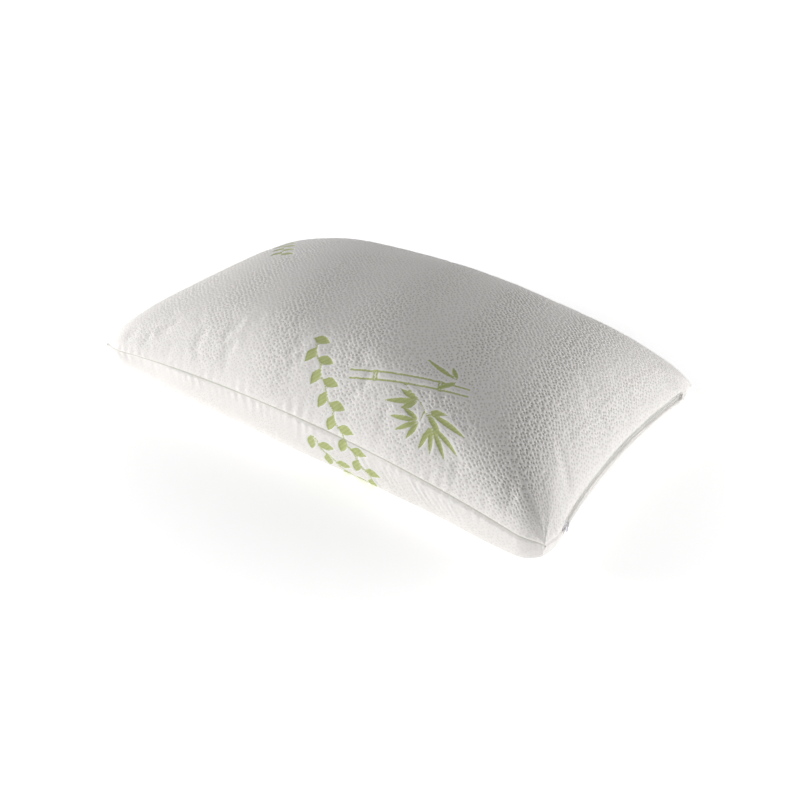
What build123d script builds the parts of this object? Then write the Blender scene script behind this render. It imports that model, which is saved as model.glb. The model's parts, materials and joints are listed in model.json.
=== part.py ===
"""Bed pillow: a removable zipped knit cover over a lined pillow of loose foam.

Frame, in millimetres: +X is the long axis and points to the zipped end, -Y is the front long
side, +Z is up. The origin is on the ground, under the middle of the pillow.
"""

from build123d import *
import os
from math import degrees, asin

# The plumped pillow, measured at its seam
HALF_LENGTH = 352.0
HALF_WIDTH = 214.5
END_PULL_IN = 0.156  # how far the middle of a short end draws in, as a share of the half length
SIDE_PULL_IN = 0.167  # how far the middle of a long side draws in, as a share of the half width
CORNER_TRIM = 0.056
SEAM_Z = 37.5  # height of the seam at the corners
SIDE_SEAM_RISE = 29.0  # extra height of the seam along the long sides
END_SEAM_RISE = 4.5  # extra height of the seam along the short ends
CROWN_RISE = 107.6  # rise of the top panel above the seam
BELLY_DROP = 83.8  # drop of the bottom panel under the seam, before the ground flattens it
STATIONS = (-1.0, -0.985, -0.6, 0.0, 0.6, 0.985, 1.0)
TOP_PROFILE = (0.0, 0.68, 1.07, 1.06, 1.07, 0.68, 0.0)
BELLY_PROFILE = (0.0, 1.14, 1.14, 1.14, 1.14, 1.14, 0.0)

# Layers, from the outside in
COVER_WALL = 2.0
COVER_SINK = 2.2
LINER_INSET = 14.0
LINER_SINK = 3.2
LINER_FLOOR = 2.4
LINER_WALL = 0.7
FILL_GAP = 0.4

# Turned-in edges of the two fabrics, held by overlock thread
COVER_SEAM_START = 3.2
COVER_SEAM_END = 10.0
COVER_SEAM_THICKNESS = 2.4
COVER_SEAM_TRIM_X = 285.0
COVER_SEAM_TRIM_Y = 160.0
LINER_SEAM_START = 10.6
LINER_SEAM_END = 13.7
LINER_SEAM_THICKNESS = 1.2

# The zip runs in a flat arc along the seam of the +X end
ZIP_X = 313.1  # outer plane of the chain, just under the lips
ZIP_Z = 42.0
ZIP_RADIUS = 1108.0
ZIP_HALF_RUN = 160.0
SLOT_HALF = 5.2
SLOT_HALF_RUN = 163.0
SLOT_DEPTH = 20.0
TAPE_EDGE = 1.3
TAPE_OUTER_EDGE = 8.3
TAPE_FACE = -3.9  # depths are measured outwards from that plane
TAPE_BACK = -4.4
COIL_FACE = -2.2
COIL_BACK = -3.8
COIL_EDGE = 0.1
COIL_ROOT = 2.3
STOP_LENGTH = 2.0
STOP_REACH = 3.0
STITCH_ROW = 7.0
STITCH_FACE = 0.7
STITCH_THICKNESS = 0.4
BARTACK_LENGTH = 1.6
BARTACK_REACH = 8.0
BARTACK_FACE = 1.5
BARTACK_BACK = 0.9

# Slider, ring and pull
SLIDER_RUN = 151.5  # distance of the closed slider from the middle of the end
SLIDER_LENGTH = 11.0
SLIDER_NOSE_HALF = 4.3
SLIDER_TAIL_HALF = 3.5
SLIDER_PLATE = 1.0
SLIDER_FACE = -0.9
SLIDER_BACK = -5.7
FLANGE = 0.8
FLANGE_BACK = -3.55
WEDGE_LENGTH = 3.0
WEDGE_HALF = 1.0
BAR_HEIGHT = 2.9  # middle of the bridge bar above the outer plate
BAR_RADIUS = 0.4
BAR_SPAN = 6.4
BAR_LEG = 1.0
RING_RADIUS = 1.6
RING_WIRE = 0.35
RING_HANG = 0.55  # middle of the ring below the bridge bar
TAB_LENGTH = 9.0
TAB_NECK = 1.3
TAB_BELL = 2.2
TAB_THICKNESS = 0.9
TAB_EYE = 0.75

ARC_CENTRE_X = ZIP_X + ZIP_RADIUS
FILL_INSET = LINER_INSET + LINER_WALL + FILL_GAP
FILL_SINK = LINER_SINK + LINER_WALL + FILL_GAP
FILL_FLOOR = LINER_FLOOR + LINER_WALL + FILL_GAP
CLOSED_END = -(SLIDER_RUN + SLIDER_LENGTH / 2)
COIL_START = WEDGE_LENGTH + 0.8 + CLOSED_END
BAR_FACE = SLIDER_FACE + BAR_HEIGHT
RING_Z = ZIP_Z - RING_HANG
TAB_PIVOT_Z = RING_Z - RING_RADIUS


def angle_at(run):
    """Angle of the zip's arc, in degrees, that reaches sideways by the given distance."""
    return degrees(asin(run / ZIP_RADIUS))


def net(inset, rise, profile):
    """Grid of control points of one panel: drawn in at the seam, raised or lowered inside it."""
    rows = []
    for u, fu in zip(STATIONS, profile):
        row = []
        for v, fv in zip(STATIONS, profile):
            trim = 1 - CORNER_TRIM * abs(u * v) ** 6
            x = u * (HALF_LENGTH - inset) * (1 - END_PULL_IN * (1 - v * v)) * trim
            y = v * (HALF_WIDTH - inset) * (1 - SIDE_PULL_IN * (1 - u * u)) * trim
            z = SEAM_Z + SIDE_SEAM_RISE * (1 - u * u) + END_SEAM_RISE * (abs(v) < 1)
            row.append(Vector(x, y, z + rise * fu * fv))
        rows.append(row)
    return rows


def edges_of(grid):
    """The four boundary rows of a grid of control points."""
    return [grid[0], grid[-1], [row[0] for row in grid], [row[-1] for row in grid]]


def closed(faces):
    """Solid bounded by faces that share their edges."""
    return Solid(Shell(faces))


def rims(outer_inset, inner_inset):
    """The four strips, at the seam, between the outer and the inner skin of a panel."""
    outer = edges_of(net(outer_inset, 0, TOP_PROFILE))
    inner = edges_of(net(inner_inset, 0, TOP_PROFILE))
    return [Face.make_bezier_surface([a, b]) for a, b in zip(outer, inner)]


def top_skin(inset, sink):
    """Upper surface of a layer, drawn in by inset at the seam and by sink over the crown."""
    return [Face.make_bezier_surface(net(inset, CROWN_RISE - sink, TOP_PROFILE))]


def belly_skin(inset, floor):
    """Lower surface of a layer, flattened at the height where it rests."""
    belly = Face.make_bezier_surface(net(inset, -BELLY_DROP, BELLY_PROFILE))
    sheet = Face.make_bezier_surface(net(inset, 0, BELLY_PROFILE))
    resting = closed([belly, sheet]).split(Plane.XY.offset(floor), keep=Keep.TOP)
    return resting.faces().sort_by(Axis.Z)[:-1]


def raised(row, height):
    return [point + Vector(0, 0, height) for point in row]


def strip_sides(outer, inner, thickness):
    """The four long faces of a flat strip between two boundary rows."""
    up, down = thickness / 2, -thickness / 2
    corners = [raised(outer, up), raised(inner, up), raised(inner, down), raised(outer, down)]
    pairs = zip(corners, corners[1:] + corners[:1])
    return [Face.make_bezier_surface([a, b]) for a, b in pairs]


def strip_end(outer, inner, thickness):
    """The small face that closes a strip at one end."""
    rows = [raised([outer, inner], thickness / 2), raised([outer, inner], -thickness / 2)]
    return Face.make_bezier_surface(rows)


def cover_seam(side):
    """Turned-in edge of the cover along one side, clear of the corners."""
    outer = edges_of(net(COVER_SEAM_START, 0, TOP_PROFILE))[side]
    inner = edges_of(net(COVER_SEAM_END, 0, TOP_PROFILE))[side]
    faces = strip_sides(outer, inner, COVER_SEAM_THICKNESS)
    faces += [strip_end(outer[k], inner[k], COVER_SEAM_THICKNESS) for k in (0, -1)]
    is_short = side < 2
    size_x = 2 * HALF_LENGTH if is_short else 2 * COVER_SEAM_TRIM_X
    size_y = 2 * COVER_SEAM_TRIM_Y if is_short else 2 * HALF_WIDTH
    return closed(faces) & Box(size_x, size_y, 4 * SEAM_Z)


def zip_band(face, back, low, high, start, end):
    """Band along the zip's arc, from back out to face, between two heights and two runs."""
    section = Rectangle(face - back, high - low)
    place = Pos((face + back) / 2 - ZIP_RADIUS, (low + high) / 2)
    band = revolve(Plane.XZ * place * section, Axis.Z, angle_at(end) - angle_at(start))
    return Pos(ARC_CENTRE_X, 0, ZIP_Z) * Rot(0, 0, -angle_at(end)) * band


def on_zip(shape, run):
    """Carries a shape from the middle of the zip's arc to another place along it."""
    turn = Rot(0, 0, -angle_at(run))
    return Pos(ARC_CENTRE_X, 0, 0) * turn * Pos(-ARC_CENTRE_X, 0, 0) * shape


def zip_block(face, back, low, high, length):
    """Straight block at the middle of the zip's arc."""
    place = Pos(ZIP_X + (face + back) / 2, 0, ZIP_Z + (low + high) / 2)
    return place * Box(face - back, length, high - low)


def zip_slot():
    """Opening between the two lips of the cover."""
    return zip_band(SLOT_DEPTH, -SLOT_DEPTH, -SLOT_HALF, SLOT_HALF, -SLOT_HALF_RUN, SLOT_HALF_RUN)


def cover_top_panel():
    skins = top_skin(0, 0) + top_skin(COVER_WALL, COVER_SINK)
    return closed(skins + rims(0, COVER_WALL)) - zip_slot()


def cover_bottom_panel():
    skins = belly_skin(0, 0) + belly_skin(COVER_WALL, COVER_WALL)
    return closed(skins + rims(0, COVER_WALL)) - zip_slot()


def liner_top_panel():
    skins = top_skin(LINER_INSET, LINER_SINK)
    skins += top_skin(LINER_INSET + LINER_WALL, LINER_SINK + LINER_WALL)
    return closed(skins + rims(LINER_INSET, LINER_INSET + LINER_WALL))


def liner_bottom_panel():
    skins = belly_skin(LINER_INSET, LINER_FLOOR)
    skins += belly_skin(LINER_INSET + LINER_WALL, LINER_FLOOR + LINER_WALL)
    return closed(skins + rims(LINER_INSET, LINER_INSET + LINER_WALL))


def foam_fill():
    return closed(top_skin(FILL_INSET, FILL_SINK) + belly_skin(FILL_INSET, FILL_FLOOR))


def liner_edge_seam():
    """Overlocked edge that joins the two liner panels, all the way round."""
    outer = edges_of(net(LINER_SEAM_START, 0, TOP_PROFILE))
    inner = edges_of(net(LINER_SEAM_END, 0, TOP_PROFILE))
    faces = []
    for a, b in zip(outer, inner):
        faces += strip_sides(a, b, LINER_SEAM_THICKNESS)
    return closed(faces)


def zip_tape(side):
    low, high = sorted((side * TAPE_EDGE, side * TAPE_OUTER_EDGE))
    return zip_band(TAPE_FACE, TAPE_BACK, low, high, -ZIP_HALF_RUN, ZIP_HALF_RUN)


def zip_coil(side):
    """Spiral row on one tape, as the solid that its turns fill up to the middle line."""
    low, high = sorted((side * COIL_EDGE, side * COIL_ROOT))
    end = ZIP_HALF_RUN - 2 * STOP_LENGTH
    return zip_band(COIL_FACE, COIL_BACK, low, high, COIL_START, end)


def zip_topstitch(side):
    """Row of stitches that holds one lip of the cover to its tape."""
    low = side * STITCH_ROW - STITCH_THICKNESS / 2
    high = low + STITCH_THICKNESS
    face = STITCH_FACE + STITCH_THICKNESS
    return zip_band(face, STITCH_FACE, low, high, -ZIP_HALF_RUN, ZIP_HALF_RUN)


def zip_top_stop(side):
    low, high = sorted((side * TAPE_EDGE, side * STOP_REACH))
    stop = zip_block(COIL_FACE, TAPE_FACE + 0.1, low, high, STOP_LENGTH)
    return on_zip(stop, CLOSED_END - STOP_LENGTH)


def zip_bottom_stop():
    stop = zip_block(COIL_FACE, TAPE_FACE + 0.1, -STOP_REACH, STOP_REACH, STOP_LENGTH)
    return on_zip(stop, ZIP_HALF_RUN - STOP_LENGTH)


def zip_bartack(side):
    """Dense bar of thread across the lips at one end of the zip."""
    bar = zip_block(BARTACK_FACE, BARTACK_BACK, -BARTACK_REACH, BARTACK_REACH, BARTACK_LENGTH)
    return on_zip(bar, side * (ZIP_HALF_RUN + BARTACK_LENGTH))


def slider_outline(nose, tail, length):
    """Outline of the slider, wide at the nose that meets the open rows."""
    half = length / 2
    return Polygon((-half, -nose), (half, -tail), (half, tail), (-half, nose))


def slider_layer(outline, face, back):
    """Layer of the slider between two depths, with its outline in the plane of the zip."""
    return Pos(0, 0, ZIP_Z) * extrude(Plane.YZ.offset(ZIP_X + back) * outline, face - back)


def bridge():
    """Raised bar on two legs that carries the ring."""
    bar = Pos(ZIP_X + BAR_FACE, 0, ZIP_Z) * Rot(90, 0, 0) * Cylinder(BAR_RADIUS, BAR_SPAN)
    leg = zip_block(BAR_FACE, SLIDER_FACE, -BAR_RADIUS, BAR_RADIUS, BAR_LEG)
    offset = (BAR_SPAN - BAR_LEG) / 2
    return bar + Pos(0, offset, 0) * leg + Pos(0, -offset, 0) * leg


def zip_slider_body():
    full = fillet(slider_outline(SLIDER_NOSE_HALF, SLIDER_TAIL_HALF, SLIDER_LENGTH).vertices(), 1)
    throat = slider_outline(SLIDER_NOSE_HALF - FLANGE, SLIDER_TAIL_HALF - FLANGE, SLIDER_LENGTH)
    outer = slider_layer(full, SLIDER_FACE, SLIDER_FACE - SLIDER_PLATE)
    inner = slider_layer(full, SLIDER_BACK + SLIDER_PLATE, SLIDER_BACK)
    flanges = slider_layer(full - throat, SLIDER_FACE - SLIDER_PLATE, FLANGE_BACK)
    depth = SLIDER_FACE - SLIDER_BACK
    wedge = zip_block(SLIDER_FACE, SLIDER_FACE - depth, -WEDGE_HALF, WEDGE_HALF, WEDGE_LENGTH)
    wedge = Pos(0, (WEDGE_LENGTH - SLIDER_LENGTH) / 2, 0) * wedge
    return on_zip(outer + inner + flanges + wedge + bridge(), -SLIDER_RUN)


def zip_pull_ring():
    ring = Pos(ZIP_X + BAR_FACE, 0, RING_Z) * Rot(90, 0, 0) * Torus(RING_RADIUS, RING_WIRE)
    return on_zip(ring, -SLIDER_RUN)


def zip_pull_tab():
    """Teardrop tab whose eye hangs on the lowest part of the ring."""
    drop = TAB_LENGTH - TAB_NECK - TAB_BELL
    flank = Polygon((TAB_NECK, 0), (-TAB_NECK, 0), (-TAB_BELL, -drop), (TAB_BELL, -drop), align=None)
    outline = Circle(TAB_NECK) + flank + Pos(0, -drop) * Circle(TAB_BELL) - Circle(TAB_EYE)
    plane = Plane.YZ.offset(ZIP_X + BAR_FACE - TAB_THICKNESS / 2)
    tab = Pos(0, 0, TAB_PIVOT_Z) * extrude(plane * outline, TAB_THICKNESS)
    return on_zip(tab, -SLIDER_RUN)


PIECES = {
    "cover_top_panel": cover_top_panel(),
    "cover_bottom_panel": cover_bottom_panel(),
    "cover_seam_left": cover_seam(0),
    "cover_seam_front": cover_seam(2),
    "cover_seam_back": cover_seam(3),
    "zip_tape_upper": zip_tape(1),
    "zip_tape_lower": zip_tape(-1),
    "zip_coil_upper": zip_coil(1),
    "zip_coil_lower": zip_coil(-1),
    "zip_topstitch_upper": zip_topstitch(1),
    "zip_topstitch_lower": zip_topstitch(-1),
    "zip_top_stop_upper": zip_top_stop(1),
    "zip_top_stop_lower": zip_top_stop(-1),
    "zip_bottom_stop": zip_bottom_stop(),
    "zip_bartack_front": zip_bartack(-1),
    "zip_bartack_back": zip_bartack(1),
    "zip_slider_body": zip_slider_body(),
    "zip_pull_ring": zip_pull_ring(),
    "zip_pull_tab": zip_pull_tab(),
    "liner_top_panel": liner_top_panel(),
    "liner_bottom_panel": liner_bottom_panel(),
    "liner_edge_seam": liner_edge_seam(),
    "foam_fill": foam_fill(),
}

os.makedirs("parts", exist_ok=True)
for node, shape in PIECES.items():
    export_step(shape, f"parts/{node}.step")
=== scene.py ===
"""Bed pillow: the looks of its cover, zip and filling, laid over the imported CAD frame."""

import json
import math

import bpy
import numpy as np
from mathutils import Matrix, Vector


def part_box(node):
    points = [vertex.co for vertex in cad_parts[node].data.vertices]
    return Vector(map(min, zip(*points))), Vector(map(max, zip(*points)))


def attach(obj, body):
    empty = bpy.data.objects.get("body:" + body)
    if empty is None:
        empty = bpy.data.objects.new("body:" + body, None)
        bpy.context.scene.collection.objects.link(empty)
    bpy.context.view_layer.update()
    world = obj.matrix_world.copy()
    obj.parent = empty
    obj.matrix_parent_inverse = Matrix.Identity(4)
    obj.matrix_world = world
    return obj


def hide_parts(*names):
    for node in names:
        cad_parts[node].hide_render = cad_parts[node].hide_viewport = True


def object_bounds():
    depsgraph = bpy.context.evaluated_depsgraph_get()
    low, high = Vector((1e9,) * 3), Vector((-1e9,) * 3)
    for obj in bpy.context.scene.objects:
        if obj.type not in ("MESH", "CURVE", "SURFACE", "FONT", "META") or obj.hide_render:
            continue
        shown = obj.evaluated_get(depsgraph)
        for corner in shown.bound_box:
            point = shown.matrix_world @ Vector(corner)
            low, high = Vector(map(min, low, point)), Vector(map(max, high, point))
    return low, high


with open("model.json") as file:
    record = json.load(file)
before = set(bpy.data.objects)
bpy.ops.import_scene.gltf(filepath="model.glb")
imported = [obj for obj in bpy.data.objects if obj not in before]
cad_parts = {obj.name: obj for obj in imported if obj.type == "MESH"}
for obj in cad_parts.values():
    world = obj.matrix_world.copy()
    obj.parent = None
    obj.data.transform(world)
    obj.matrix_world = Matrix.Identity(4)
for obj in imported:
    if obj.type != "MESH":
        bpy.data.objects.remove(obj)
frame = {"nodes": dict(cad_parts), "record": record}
CAD_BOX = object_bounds()
NODES = frame["nodes"]

# ---------------------------------------------------------------- sizes, in metres, and colours

# The pillow's form: pull-ins, trim, profiles, bulge and fill are shares, the rest is in metres
END_PULL_IN = 0.156
SIDE_PULL_IN = 0.167
CORNER_TRIM = 0.056
STATIONS = (-1.0, -0.985, -0.6, 0.0, 0.6, 0.985, 1.0)
TOP_PROFILE = (0.0, 0.68, 1.07, 1.06, 1.07, 0.68, 0.0)
BELLY_PROFILE = (0.0, 1.14, 1.14, 1.14, 1.14, 1.14, 0.0)
SIDE_SEAM_RISE = 0.029
END_SEAM_RISE = 0.0045
CROWN_RISE = 0.1076
BELLY_DROP = 0.0838
CORNER_ROUND = 0.047
CORNER_BULGE = 1.2
CORNER_FILL = 0.6
FILL_ALONG = (0.4, 0.7)
FILL_ACROSS = (0.3, 0.6)
FRONT_SAG = 0.006
SAG_CENTRE = -0.03
SAG_SPREAD = 0.13

COVER_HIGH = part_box("cover_bottom_panel")[1]
HALF_LENGTH = COVER_HIGH[0] / (1 - CORNER_TRIM)
HALF_WIDTH = COVER_HIGH[1] / (1 - CORNER_TRIM)
SEAM_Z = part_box("cover_top_panel")[0][2]
TOP, BELLY = 1, -1

# The mesh of a panel: fine at the seams, coarser over the crown
EDGE_STEP = 0.0009
EDGE_ROWS = 14
PANEL_STEP = 0.0016
TABLE_PLACES = 2001

# The cloth simulation that settles the cover over its filling
SIM_LONG, SIM_WIDE = 101, 67
SIM_FRAMES = 16
CLOTH_SLACK = 0.006
PRESSURE = 4.0
BENDING = 1.5
PIN_STIFFNESS = 3.0
FLOOR_HOLD = 0.9
RESTING_HEIGHT = 0.004
MOST_SHIFT = 0.005
SEAM_CALM = 0.045
TOP_CALM, BELLY_CALM = 0.6, 0.2

# The seam and the lips of the zip
SEAM_SINK = 0.0022
SEAM_WIDTH = 0.0027
LIP_TUCK = 0.0034
TAPE_LOW, TAPE_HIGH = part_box("zip_tape_upper")
ZIP_Z = (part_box("zip_tape_lower")[0][2] + TAPE_HIGH[2]) / 2
ZIP_HALF_RUN = TAPE_HIGH[1]
LIP_HALF = 0.0047
LIP_REACH = 0.025
LIP_FOLD = 0.0014
LIP_FADE = (0.003, 0.0015)
LIP_ZONE = 0.06
STITCH_ROW = 0.0070
STITCH_GROOVE = 0.0004
STITCH_GROOVE_HALF = 0.0011
STITCH_ZONE = 0.03

# The threads and spirals of the zip; depths run outwards from the face of its tapes
TRAVEL = next(j for j in frame["record"]["behaviour"]["joints"] if j["name"] == "slider_travel")
ARC_CENTRE = TRAVEL["pos_m"][0]
TAPE_THICK = 0.0005
TAPE_FACE_X = TAPE_LOW[0] + TAPE_THICK
COIL_PITCH = 0.00125
COIL_POINTS = 10
COIL_MIDDLE = 0.00085
COIL_REACH = 0.00120
COIL_HEIGHT = 0.00090
COIL_SWELL = 0.00052
COIL_WIRE = 0.00027
THREAD_RADIUS = 0.00022
STITCH_LIFT = 0.0040
STITCH_DIP = 0.0011
STITCH_PITCH = 0.0034
STITCH_SHARE = 0.86
STITCH_MARGIN = 0.003
BARTACK_TURNS = 9
BARTACK_HALF = 0.0078
BARTACK_SWAY = 0.0007
BARTACK_PLACE = ZIP_HALF_RUN + 0.0018
BARTACK_LIFT = 0.0049
BARTACK_BULGE = 0.0003

# Softness of the cover
WAVE_COUNT = 6
PUCKER = 0.00045
PUCKER_WIDTH = 0.012
PUCKER_REACH = 0.011
PUCKER_START = 0.002
CORNER_CREASE = 0.0009
CREASE_REACH = 0.045
SOFT_DENT = 0.0007
DRAG_LINE = 0.00020
DRAG_WIDTH = 0.0075
DRAG_LEAN = 0.6
EMBOSS = 0.00035
EMBOSS_RIM = 0.0016

# The printed motif
CANE_WIDTH = 0.0092
CANE_LINE = 0.0021
CANE_JOINTS = (0.22, 0.76)
CANE_JOINT_HALF = 0.0018
CANE_JOINT_BULGE = 0.0009
VINE_STEP = 0.0135
VINE_STEM = 0.0034
VINE_LEAF = 0.0215
VINE_LEAF_WIDTH = 0.0112
VINE_LEAF_ANGLE = 52
VINE_SWAY = 0.0016
FAN_GAP = 0.0025

# What is under the cover
INNER_STEP = 0.004
LINER_INSET = 0.015
LINER_SINK = 0.006
LINER_FLOOR = 0.0030
FOAM_INSET = 0.020
FOAM_SINK = 0.012
FOAM_FLOOR = 0.0060
LUMP = 0.0008
LUMP_WIDTH = 0.03
SEAM_INSET = 0.0045
SEAM_STRIP = 0.0045
SEAM_THICK = 0.0010
SEAM_PLACES = 700
SEAM_RUFFLE = 0.00035
OVERLOCK_PITCH = 0.0026

# Relief and colours of the knit
DIMPLE_SCALE = (205.0, 232.0, 1.0)
DIMPLE_TURN = math.radians(43)
DIMPLE_DRIFT = 0.0022
DIMPLE_RANDOM = 0.62
DIMPLE_DEPTH = 0.00062
LOOP_SHARE = 0.05
# Share of the painted shade in the pinhole dimples
HOLE_SHADE_SHARE = 0.75
COVER_WHITE = (0.89, 0.863, 0.84, 1)
COVER_SHADE = (0.85, 0.825, 0.80, 1)
# Painted highlight on the raised rim round the print
RIM_HIGHLIGHT = (0.95, 0.95, 0.93, 1)
# Colour of the painted shade in the pinhole dimples
HOLE_SHADE_COLOR = (0.30, 0.30, 0.21, 1)
PRINT_GREEN = (0.46, 0.51, 0.20, 1)
PRINT_LIGHT = (0.60, 0.65, 0.33, 1)
# Painted shade along the seam: how strong it is, and its colour
SEAM_SHADE = 0.7
SEAM_SHADE_COLOR = (0.42, 0.42, 0.33, 1)

# Colours of the zip's spirals and of the filling, and how rough the metal is
NYLON_SHADE, NYLON_WHITE = (0.70, 0.70, 0.67, 1), (0.86, 0.86, 0.84, 1)
FOAM_SHADE, FOAM_CREAM = (0.62, 0.58, 0.46, 1), (0.90, 0.86, 0.74, 1)
METAL_ROUGHNESS = 0.32

# The camera
VIEW_AZIMUTH = math.radians(35.1)
VIEW_ELEVATION = math.radians(29.86)
VIEW_ROLL = math.radians(1.99)
VIEW_DISTANCE = 1.2074
VIEW_TARGET = (0, 0, 0.0422)
VIEW_LENS = 42.40
VIEW_SHIFT = (0.0082, -0.0465)

# The sky, the two side lights and the floor
SKY_LOW, SKY_HIGH, SKY_EDGE = 0.46, 0.19, 0.6
LEFT_POWER, RIGHT_POWER = 38, 29
LEFT_PLACE, RIGHT_PLACE = (-1.9, -1.0, 0.55), (1.9, 1.2, 0.55)
LIGHT_AIM = (0, 0, 0.05)
LIGHT_SIZE = (1.6, 0.7)
FLOOR_HALF = 6.0
FLOOR_GLOW, FAR_GLOW = 0.44, 0.90
GLOW_NEAR, GLOW_FAR = 0.20, 0.85


# ---------------------------------------------------------------- form of the pillow


def smooth_step(low, high, x):
    """Goes smoothly from 0 at low to 1 at high."""
    t = np.clip((x - low) / (high - low), 0, 1)
    return t * t * (3 - 2 * t)


def bernstein(t):
    """Weights of the seven control rows at each t from 0 to 1."""
    n = len(STATIONS) - 1
    t = np.asarray(t, float)[..., None]
    k = np.arange(n + 1)
    ways = np.array([math.comb(n, i) for i in k])
    return ways * t**k * (1 - t) ** (n - k)


def seam_net(inset):
    """Control points of the sheet that spans the seam."""
    u, v = np.meshgrid(STATIONS, STATIONS, indexing="ij")
    trim = 1 - CORNER_TRIM * np.abs(u * v) ** 6
    x = u * (HALF_LENGTH - inset) * (1 - END_PULL_IN * (1 - v * v)) * trim
    y = v * (HALF_WIDTH - inset) * (1 - SIDE_PULL_IN * (1 - u * u)) * trim
    z = SEAM_Z + SIDE_SEAM_RISE * (1 - u * u) + END_SEAM_RISE * (np.abs(v) < 1)
    return np.stack([x, y, z], -1)


# How far along the seam net, from -1 to 1, each parameter from 0 to 1 lies
RANGE = np.linspace(0, 1, TABLE_PLACES)
ALONG = bernstein(RANGE) @ STATIONS


def round_corners(p, q):
    """Pulls the corners of the seam onto arcs, while the panels keep bulging past them."""
    reach = CORNER_ROUND / np.array([HALF_LENGTH, HALF_WIDTH])
    u = np.stack([bernstein(p) @ STATIONS, bernstein(q) @ STATIONS], -1)
    past = np.maximum(np.abs(u) - 1 + reach, 0) / reach
    far = (past**4).sum(-1) ** 0.25
    share = 1 - (1 - far / np.maximum(np.linalg.norm(past, axis=-1), 1e-9)) * far**CORNER_BULGE
    pulled = np.sign(u) * (1 - reach + past * share[..., None] * reach)
    u = np.where(past > 0, pulled, u)
    return np.interp(u[..., 0], ALONG, RANGE), np.interp(u[..., 1], ALONG, RANGE)


def corner_gain(a, b):
    """How much fuller a corner stands than the product of the two profiles; 1 elsewhere."""
    a, b = np.clip(a, 1e-4, 1) ** 2, np.clip(b, 1e-4, 1) ** 2
    return 1 / np.sqrt(a + b - a * b)


def form(p, q, side, inset=0.0, sink=0.0, floor=0.0):
    """Points of one panel at the parameters p along the length and q across.

    The inset draws the seam in, and the sink lowers the crown, for a skin inside the cover.
    """
    p, q = np.broadcast_arrays(p, q)
    profile = TOP_PROFILE if side == TOP else BELLY_PROFILE
    rise = CROWN_RISE - sink if side == TOP else -BELLY_DROP
    a, b = bernstein(p) @ profile, bernstein(q) @ profile
    front_right = smooth_step(*FILL_ALONG, p) * (1 - smooth_step(*FILL_ACROSS, q))
    fill = CORNER_FILL * front_right
    lift = rise * a * b * (1 + fill * (corner_gain(a, b) - 1))
    rp, rq = round_corners(p, q)
    points = np.einsum("...i,...j,ijk->...k", bernstein(rp), bernstein(rq), seam_net(inset))
    if side == BELLY:
        along = np.exp(-(((points[..., 0] - SAG_CENTRE) / SAG_SPREAD) ** 2))
        down = smooth_step(0, 0.8, b)
        front = smooth_step(0, HALF_WIDTH / 2, -points[..., 1])
        points[..., 1] -= FRONT_SAG * along * down * front
    points[..., 2] = np.maximum(points[..., 2] + lift, floor)
    return points


def arc_table(axis, side):
    """Length along a panel, from one seam to the other through its middle."""
    t = np.linspace(0, 1, TABLE_PLACES)
    points = form(t, 0.5, side) if axis == 0 else form(0.5, t, side)
    steps = np.linalg.norm(np.diff(points, axis=0), axis=1)
    return t, np.concatenate([[0], np.cumsum(steps)])


ARCS = {(axis, side): arc_table(axis, side) for axis in (0, 1) for side in (TOP, BELLY)}


def cloth_size(axis, side):
    """Length or width of a panel's flat cloth."""
    return ARCS[axis, side][1][-1]


def parameter(axis, side, cloth):
    """Parameter of a place on the flat cloth, given in metres from its middle."""
    t, length = ARCS[axis, side]
    return np.interp(cloth + length[-1] / 2, length, t)


def spacing(size, step):
    """Places across the cloth from seam to seam, closer together near the seams."""
    fine = np.cumsum(np.linspace(EDGE_STEP * 0.5, step, EDGE_ROWS))
    middle = size / 2 - fine[-1]
    count = int(math.ceil(2 * middle / step))
    inner = np.linspace(-middle, middle, count + 1)
    left = -size / 2 + np.concatenate([[0], fine[:-1]])
    return np.concatenate([left, inner, -left[::-1]])


# ---------------------------------------------------------------- cloth simulation


def cloth_settle(points, faces, pins):
    """Lets a closed cloth skin settle under the pressure of its filling."""
    mesh = bpy.data.meshes.new("settle")
    mesh.from_pydata(points.tolist(), [], faces)
    obj = bpy.data.objects.new("settle", mesh)
    bpy.context.scene.collection.objects.link(obj)
    group = obj.vertex_groups.new(name="pins")
    for weight in np.unique(pins):
        if weight > 0:
            group.add(np.nonzero(pins == weight)[0].tolist(), float(weight), "REPLACE")
    cloth = obj.modifiers.new("Cloth", "CLOTH")
    settings = cloth.settings
    settings.shrink_min = -CLOTH_SLACK
    settings.vertex_group_mass = "pins"
    settings.pin_stiffness = PIN_STIFFNESS
    settings.quality = 6
    settings.mass = 0.03
    settings.tension_stiffness = 25
    settings.compression_stiffness = 25
    settings.shear_stiffness = 8
    settings.bending_stiffness = BENDING
    settings.tension_damping = 5
    settings.use_pressure = True
    settings.uniform_pressure_force = PRESSURE
    settings.effector_weights.gravity = 0
    cloth.point_cache.frame_start = 1
    cloth.point_cache.frame_end = SIM_FRAMES
    for number in range(1, SIM_FRAMES + 1):
        bpy.context.scene.frame_set(number)
    settled = obj.evaluated_get(bpy.context.evaluated_depsgraph_get()).to_mesh()
    result = np.zeros(len(points) * 3, np.float32)
    settled.vertices.foreach_get("co", result)
    bpy.context.scene.frame_set(1)
    bpy.data.objects.remove(obj)
    return result.reshape(-1, 3).astype(float)


def grid_faces(flip, index):
    """Quads of a grid of points, given the number of each point."""
    a = index[:-1, :-1].ravel()
    b = index[1:, :-1].ravel()
    c = index[1:, 1:].ravel()
    d = index[:-1, 1:].ravel()
    order = (a, d, c, b) if flip else (a, b, c, d)
    return np.stack(order, -1)


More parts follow.
